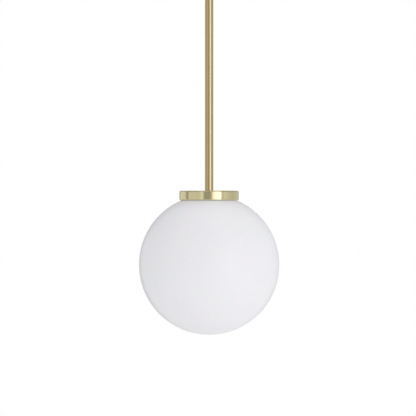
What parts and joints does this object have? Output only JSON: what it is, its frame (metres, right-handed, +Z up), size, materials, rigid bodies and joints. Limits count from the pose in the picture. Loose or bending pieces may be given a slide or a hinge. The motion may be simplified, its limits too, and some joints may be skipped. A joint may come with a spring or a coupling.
{
  "type": "pendant ceiling light",
  "caption": "Opal glass globe on a slim rigid brass stem, with a shallow brass cap over its neck and a round canopy that hides a ceiling bracket.",
  "frame": {"origin": "centre of the ceiling bracket's upper face, on the ceiling plane and on the stem's axis", "axes": "+Z up out of the ceiling face along the stem's axis; +X along the bracket's strap and its two ceiling slots"},
  "size_m": [0.2, 0.2, 0.5213],
  "materials": {
    "satin_brass": "satin, fine lathe and drawing lines, lacquered",
    "turned_brass": "as turned, uncoated",
    "contact_brass": "pressed sheet, bright",
    "plated_steel": "zinc plated",
    "spring_steel": "stainless strip",
    "blackened_steel": "blackened",
    "tinned_copper": "tinned",
    "terminal_plastic": "moulded, natural white",
    "nylon": "machined, natural",
    "lamp_plastic": "moulded white",
    "frosted_plastic": "frosted, translucent",
    "silicone": "translucent white",
    "flex_sheath": "smooth white sheath",
    "live_insulation": "smooth brown",
    "neutral_insulation": "smooth blue",
    "earth_insulation": "green with a yellow stripe",
    "porcelain": "glazed white",
    "opal_glass": "cased opal, glossy outside, opaque white",
    "nickel_shell": "nickel plated",
    "black_glass": "fused black",
    "circuit_board": "white solder mask with yellow packages",
    "driver_board": "green board"
  },
  "bodies": {
    "ceiling_mount": {"ceiling_bracket": "plated_steel", "canopy": "satin_brass", "canopy_screws": "satin_brass", "terminal_block": "terminal_plastic", "terminal_inserts": "turned_brass", "terminal_screws": "plated_steel", "terminal_fixings": "plated_steel", "earth_screw": "turned_brass", "earth_lug": "tinned_copper", "earth_lead": "earth_insulation", "canopy_core_live": "live_insulation", "canopy_core_neutral": "neutral_insulation", "canopy_core_earth": "earth_insulation"},
    "swivel": {"swivel_seat": "nylon", "swivel_flex": "flex_sheath"},
    "stem": {"swivel_ball": "turned_brass", "ball_grub_screw": "blackened_steel", "upper_nipple": "turned_brass", "stem_tube": "satin_brass", "lower_nipple": "turned_brass", "stem_flex": "flex_sheath", "cap": "satin_brass", "neck_gasket": "silicone", "spring_carrier": "plated_steel", "spring_rivets": "plated_steel", "spring_arm_1": "spring_steel", "spring_arm_2": "spring_steel", "spring_arm_3": "spring_steel", "lock_washer": "spring_steel", "lock_nut": "turned_brass", "holder_cap": "turned_brass", "holder_grub_screw": "blackened_steel", "holder_shell": "turned_brass", "holder_insulator": "porcelain", "holder_posts": "turned_brass", "holder_post_screws": "plated_steel", "holder_screw_shell": "contact_brass", "holder_centre_contact": "contact_brass", "holder_core_live": "live_insulation", "holder_core_neutral": "neutral_insulation", "holder_core_earth": "earth_insulation"},
    "globe": {"globe": "opal_glass"},
    "lamp": {"lamp_cap": "nickel_shell", "lamp_insulator": "black_glass", "lamp_eyelet": "nickel_shell", "lamp_housing": "lamp_plastic", "lamp_diffuser": "frosted_plastic", "lamp_led_board": "circuit_board", "lamp_driver": "driver_board"}
  },
  "joints": [
    {"name": "stem_turn", "type": "hinge", "parent": "ceiling_mount", "child": "swivel", "pos_m": [0, 0, -0.0236], "axis": [0, 0, 1], "range_deg": [-170, 170]},
    {"name": "stem_tilt", "type": "hinge", "parent": "swivel", "child": "stem", "pos_m": [0, 0, -0.0236], "axis": [0, 1, 0], "range_deg": [-15, 15], "deforming": ["swivel_flex"]},
    {"name": "globe_drop", "type": "slide", "parent": "stem", "child": "globe", "axis": [0, 0, -1], "range_m": [0, 0.16], "deforming": ["spring_arm_1", "spring_arm_2", "spring_arm_3"]},
    {"name": "lamp_withdraw", "type": "slide", "parent": "stem", "child": "lamp", "axis": [0, 0, -1], "range_m": [0, 0.03]}
  ]
}
